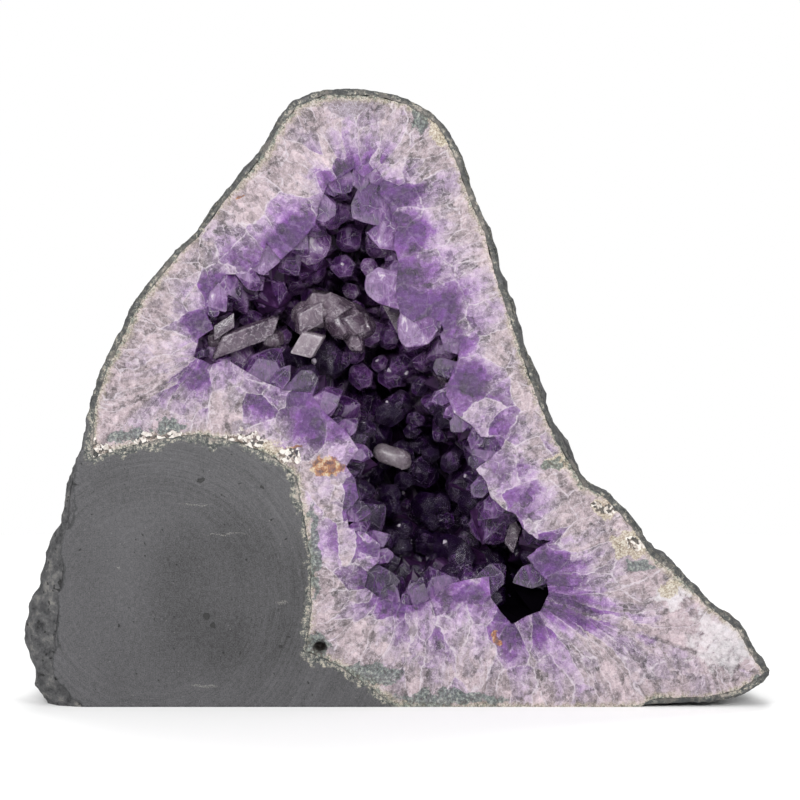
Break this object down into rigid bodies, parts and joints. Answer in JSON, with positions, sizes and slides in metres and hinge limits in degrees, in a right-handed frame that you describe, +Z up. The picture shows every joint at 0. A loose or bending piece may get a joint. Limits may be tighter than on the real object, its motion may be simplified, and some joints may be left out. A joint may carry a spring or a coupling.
{
  "type": "amethyst geode",
  "caption": "Amethyst geode sawn open to show a dark purple crystal cavity lined with pale quartz in basalt, standing on a sawn flat base.",
  "frame": {"origin": "middle of the bounding box in plan, on the sawn base", "axes": "+Z up, +X to the viewer's right when facing the polished face, +Y from the polished face to the rough back"},
  "size_m": [0.2998, 0.133, 0.248],
  "materials": {
    "basalt": "sawn and lightly polished on the front and base, rough weathered rind elsewhere",
    "quartz": "polished, cloudy white to lavender, stained tan at the rim",
    "amethyst": "glossy translucent crystal faces, violet to almost black",
    "calcite": "cloudy translucent, grey white"
  },
  "bodies": {
    "root": {"basalt_host_rock": "basalt", "quartz_band": "quartz", "amethyst_druse": "amethyst", "calcite_blade": "calcite", "calcite_cluster": "calcite", "calcite_spire": "calcite", "calcite_wall_crystal": "calcite", "calcite_corner_crystal": "calcite", "calcite_pebble": "calcite"}
  },
  "joints": []
}
